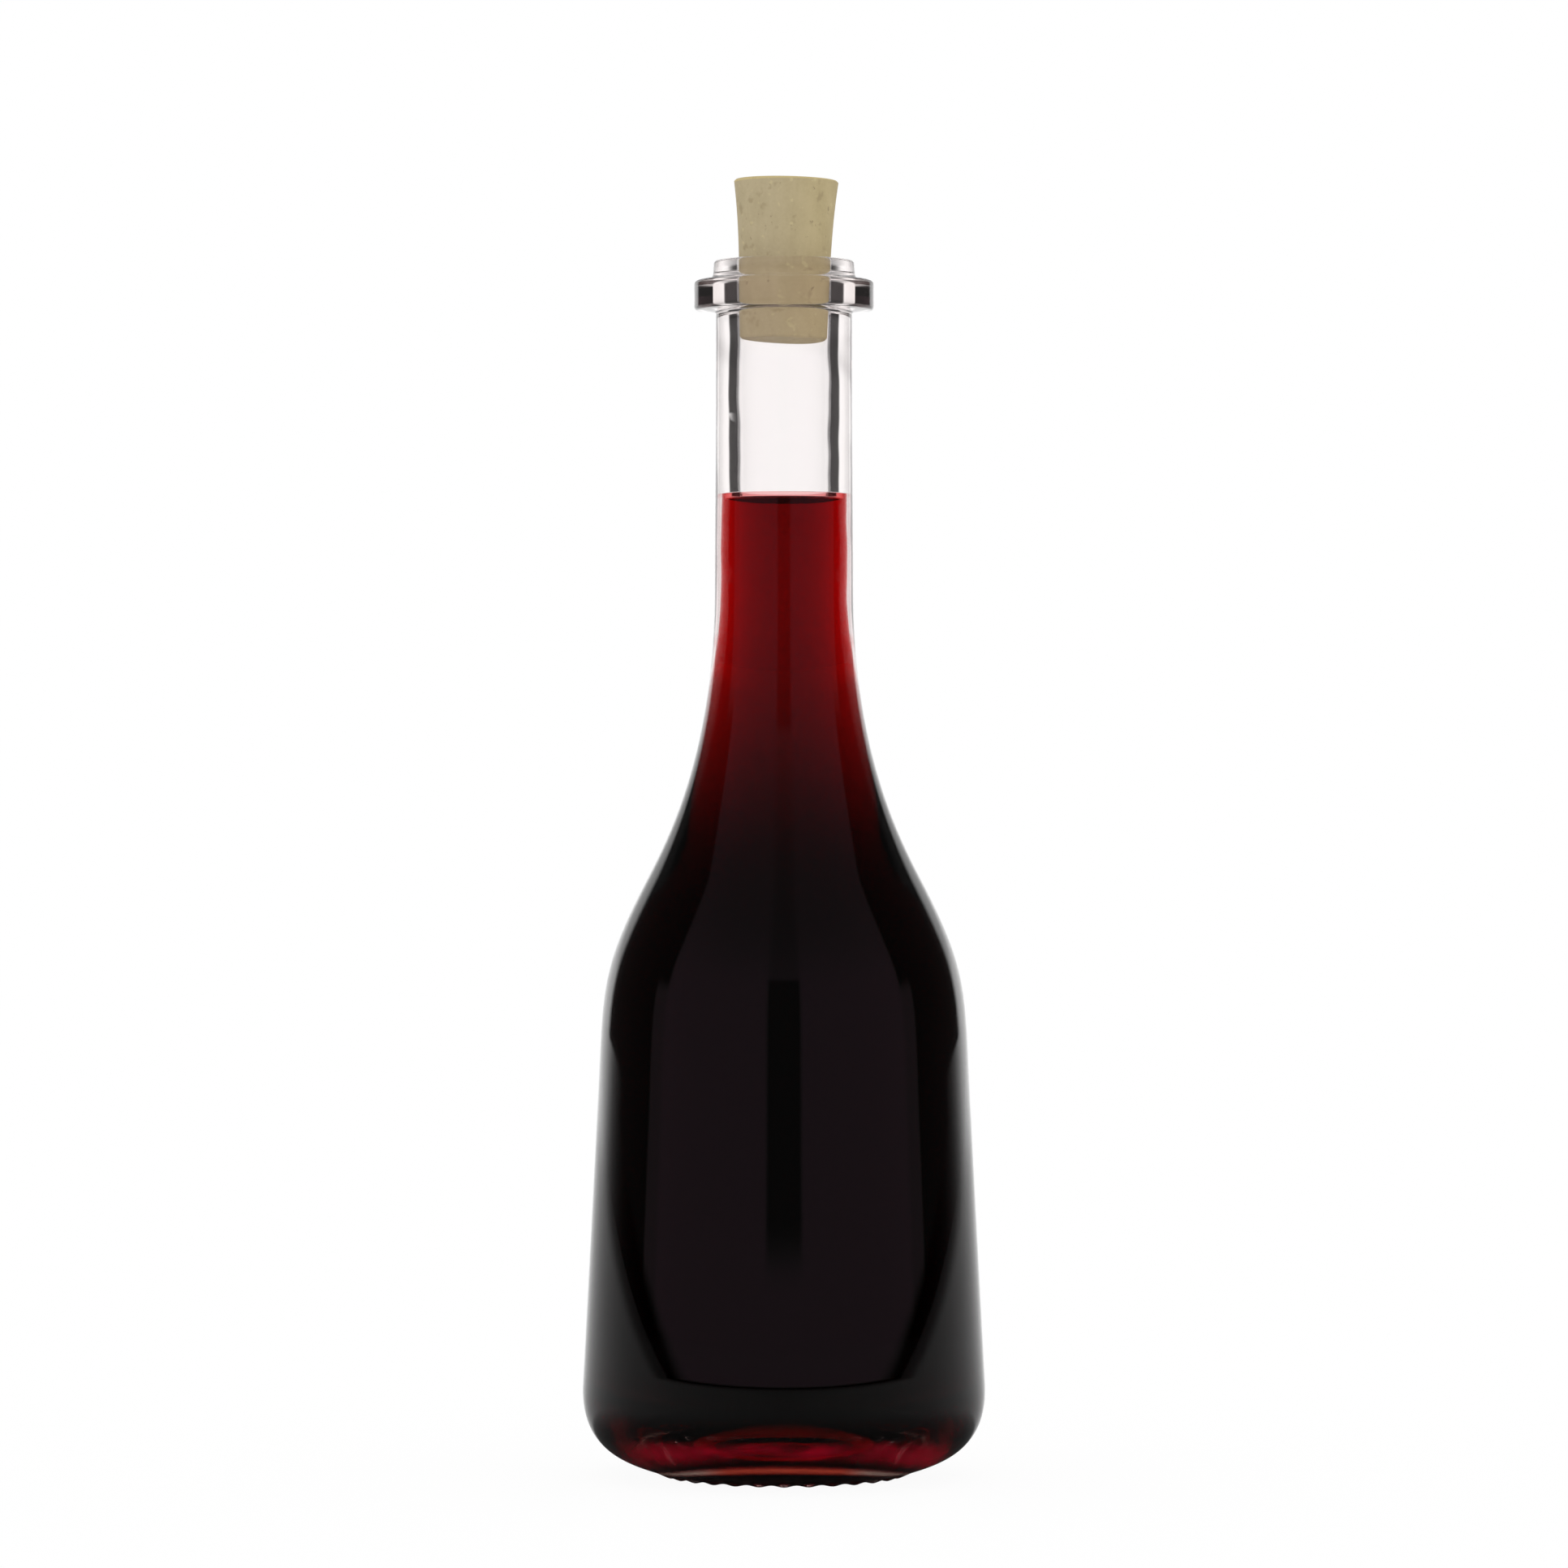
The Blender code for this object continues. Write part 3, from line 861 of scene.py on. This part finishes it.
class BottleStageSettings(bpy.types.PropertyGroup):
    backdrop: bpy.props.FloatProperty(name="Backdrop", description="Brightness behind the bottle",
                                      default=1.15)
    half_width: bpy.props.FloatProperty(name="Half width", description="Half of the backdrop's angle",
                                        default=math.radians(36.0), subtype="ANGLE")
    side: bpy.props.FloatProperty(name="Sides", description="Brightness beside the backdrop", default=0.025)
    front: bpy.props.FloatProperty(name="Front", description="Brightness behind the camera", default=0.16)
    soft: bpy.props.FloatProperty(name="Soft light", description="Even light on dull surfaces", default=1.0)


# Operators

class BottleGlassMaker(bpy.types.Operator):
    """Turns the bottle's glass and presses the knurls into its foot"""

    bl_idname = "bottle.make_glass"
    bl_label = "Glass"

    def execute(self, context):
        settings = context.scene.bottle_glass
        contact = context.scene.bottle_drink.level + CONTACT
        glass = turned("glass_shell", glass_outline(contact), GLASS_STEPS)

        def knurl(point):
            reach = abs(math.hypot(point.x, point.y) - FOOT_RADIUS) / KNURL_REACH
            if point.z > FLOOR_EDGE / 2 or reach >= 1.0:
                return 0.0
            azimuth = math.atan2(point.y, point.x)
            swell = 0.5 + 0.5 * math.cos(settings.knurls * (azimuth + math.pi / 2))
            return swell * math.cos(reach * math.pi / 2) ** 2

        pressed(glass, "Knurls", "Z", -settings.knurl_depth, knurl)
        pressed(glass, "Bore waves", "NORMAL", settings.wave, bore_wave)

        def wet(face):
            middle = face.center
            outward = middle.x * face.normal.x + middle.y * face.normal.y
            on_floor = face.normal.z > 0.5 and math.hypot(middle.x, middle.y) < BODY_TOP_RADIUS
            return (outward < 0.0 or on_floor) and FLOOR_EDGE - MM < middle.z < contact

        marked(glass, "wet", wet)
        dressed(glass, "glass_bottle", clear_glass(settings, context.scene.bottle_drink.bending))
        return {"FINISHED"}


class BottleDrinkMaker(bpy.types.Operator):
    """Fills the bottle with the drink up to its level"""

    bl_idname = "bottle.make_drink"
    bl_label = "Drink"

    def execute(self, context):
        settings = context.scene.bottle_drink
        drink = turned("red_fill", drink_outline(settings.level), DRINK_STEPS)
        pressed(drink, "Bore waves", "NORMAL", -context.scene.bottle_glass.wave, bore_wave)

        def open_face(face):
            radius = math.hypot(face.center.x, face.center.y)
            return face.center.z > settings.level - OPEN_SLACK and radius < BORE_RADIUS - FILM / 3

        marked(drink, "open", open_face)
        dressed(drink, "drink", red_liquid(settings))
        return {"FINISHED"}


class BottleCorkMaker(bpy.types.Operator):
    """Turns the tapered cork and leans it in the mouth"""

    bl_idname = "bottle.make_cork"
    bl_label = "Cork"

    def execute(self, context):
        settings = context.scene.bottle_cork
        cork = turned("tapered_cork", cork_outline(), CORK_STEPS)
        bpy.ops.object.mode_set(mode="EDIT")
        bpy.ops.mesh.select_all(action="SELECT")
        pivot = (0.0, 0.0, (LIP_TOP + CORK_BOTTOM) / 2)
        bpy.ops.transform.rotate(value=-CORK_LEAN, orient_axis="Y", center_override=pivot)
        bpy.ops.object.mode_set(mode="OBJECT")
        dressed(cork, "cork_stopper", pressed_cork("pale_cork", settings))
        return {"FINISHED"}


class BottleStageMaker(bpy.types.Operator):
    """Sets the pale floor, the backdrop's light and the camera"""

    bl_idname = "bottle.make_stage"
    bl_label = "Stage"

    def execute(self, context):
        settings = context.scene.bottle_stage
        self.set_world(context, settings)
        self.set_floor(settings)
        self.set_camera(context)
        scene = context.scene
        scene.view_settings.view_transform = "Standard"
        scene.view_settings.look = "None"
        scene.cycles.max_bounces = 32
        scene.cycles.transmission_bounces = 28
        scene.cycles.glossy_bounces = 12
        scene.cycles.transparent_max_bounces = 12
        return {"FINISHED"}

    def set_world(self, context, settings):
        """A bright backdrop along +Y, dark sides, a dim front with a darker strip, and a pale horizon."""
        world = bpy.data.worlds.new("studio")
        context.scene.world = world
        shader = Shader(world)
        way = shader.node("ShaderNodeTexCoord", output="Generated")
        x, y, z = shader.parts_of(way)
        azimuth = abs(x.maths("ARCTAN2", x, y))
        half = settings.half_width
        back = 1.0 - shader.fade(azimuth, half - BACKDROP_FADE_IN, half + BACKDROP_FADE_OUT)
        high = 1.0 - shader.fade(z, *DIM_HEIGHTS) * DIM_SHARE + shader.fade(z, *HIGH_HEIGHTS) * HIGH_SHARE
        wing = shader.fade(azimuth, *WING_EDGE) * (1.0 - shader.fade(z, *WING_TOP)) * WING_SHARE
        front = wing + shader.fade(azimuth, *FRONT_EDGE) * (1.0 - wing)
        strip = shader.fade(azimuth, *STRIP_EDGE) * shader.fade(z, *STRIP_BOTTOM)
        strip = strip * (1.0 - shader.fade(z, *STRIP_TOP) * STRIP_TOP_SHARE)
        front = front * (1.0 - strip * STRIP_SHARE) * (1.0 - shader.fade(z, *FRONT_TOP) * FRONT_TOP_SHARE)
        above = back * high * settings.backdrop + (1.0 - back) * settings.side + front * settings.front
        horizon = shader.fade(z, *HORIZON)
        glow = floor_glow(settings, azimuth, FLOOR_FAR_POWER) * (1.0 - horizon) + above * horizon
        glow, glassy = with_soft_light(shader, settings, glow, 1.0)
        tone = shader.mixed(front * horizon * glassy, WHITE, FRONT_TONE)
        light = shader.node("ShaderNodeBackground", None, {"Color": tone, "Strength": glow})
        shader.finish("ShaderNodeOutputWorld", Surface=light)

    def set_floor(self, settings):
        """A wide pale floor, lit from the backdrop's side, with the bottle's shade in front of the foot."""
        bpy.ops.object.select_all(action="DESELECT")
        bpy.ops.mesh.primitive_circle_add(vertices=FLOOR_SIDES, radius=FLOOR_RADIUS, fill_type="NGON",
                                          location=(0.0, 0.0, -FLOOR_DROP))
        floor = bpy.context.object
        floor.name = "studio_floor"
        bpy.ops.object.transform_apply(location=True, rotation=False, scale=False)
        material = bpy.data.materials.new("pale_floor")
        shader = Shader(material)
        x, y, _ = shader.parts_of(shader.place())
        azimuth = abs(x.maths("ARCTAN2", x, y))
        distance = (x * x + y * y) ** 0.5
        behind = shader.fade(y, BEHIND_START, BEHIND_END)
        lit = behind + (1.0 - behind) * shader.fade(distance, SHADE_START, SHADE_END)
        far = shader.fade(distance, FLOOR_NEAR, FLOOR_FAR)
        sharpness = FLOOR_NEAR_POWER + far * (FLOOR_FAR_POWER - FLOOR_NEAR_POWER)
        glow = floor_glow(settings, azimuth, sharpness) * lit
        glow, _ = with_soft_light(shader, settings, glow, FLOOR_SEEN)
        light = shader.node("ShaderNodeEmission", None, {"Strength": glow})
        paint = shader.node("ShaderNodeBsdfDiffuse", None, {"Color": FLOOR_PAINT})
        both = shader.node("ShaderNodeAddShader", None, {0: light, 1: paint})
        shader.finish("ShaderNodeOutputMaterial", Surface=both)
        floor.data.materials.append(material)

    def set_camera(self, context):
        """The photograph's level view along +Y."""
        data = bpy.data.cameras.new("photo_camera")
        data.sensor_width = SENSOR
        data.lens = SENSOR * FOCAL_PIXELS / PICTURE_PIXELS
        camera = bpy.data.objects.new("photo_camera", data)
        camera.location = (0.0, -CAMERA_DISTANCE, CAMERA_HEIGHT)
        camera.rotation_euler = (math.pi / 2, 0.0, 0.0)
        context.scene.collection.objects.link(camera)
        context.scene.camera = camera


class BottlePanel(bpy.types.Panel):
    """Lists the bottle's parts and their settings"""

    bl_idname = "BOTTLE_PT_parts"
    bl_label = "Corked Bottle"
    bl_space_type = "VIEW_3D"
    bl_region_type = "UI"
    bl_category = "Bottle"

    def draw(self, context):
        for maker, settings in MAKERS:
            box = self.layout.box()
            box.operator(maker.bl_idname)
            group = getattr(context.scene, settings)
            for name in group.__annotations__:
                box.prop(group, name)


SETTINGS = (
    ("bottle_glass", BottleGlassSettings),
    ("bottle_drink", BottleDrinkSettings),
    ("bottle_cork", BottleCorkSettings),
    ("bottle_stage", BottleStageSettings),
)
MAKERS = (
    (BottleGlassMaker, "bottle_glass"),
    (BottleDrinkMaker, "bottle_drink"),
    (BottleCorkMaker, "bottle_cork"),
    (BottleStageMaker, "bottle_stage"),
)


def register():
    for name, group in SETTINGS:
        bpy.utils.register_class(group)
        setattr(bpy.types.Scene, name, bpy.props.PointerProperty(type=group))
    for maker, _ in MAKERS:
        bpy.utils.register_class(maker)
    bpy.utils.register_class(BottlePanel)


def unregister():
    bpy.utils.unregister_class(BottlePanel)
    for maker, _ in reversed(MAKERS):
        bpy.utils.unregister_class(maker)
    for name, group in reversed(SETTINGS):
        delattr(bpy.types.Scene, name)
        bpy.utils.unregister_class(group)


def main():
    register()
    bpy.ops.bottle.make_glass()
    bpy.ops.bottle.make_drink()
    bpy.ops.bottle.make_cork()
    bpy.ops.bottle.make_stage()


if __name__ == "__main__":
    main()
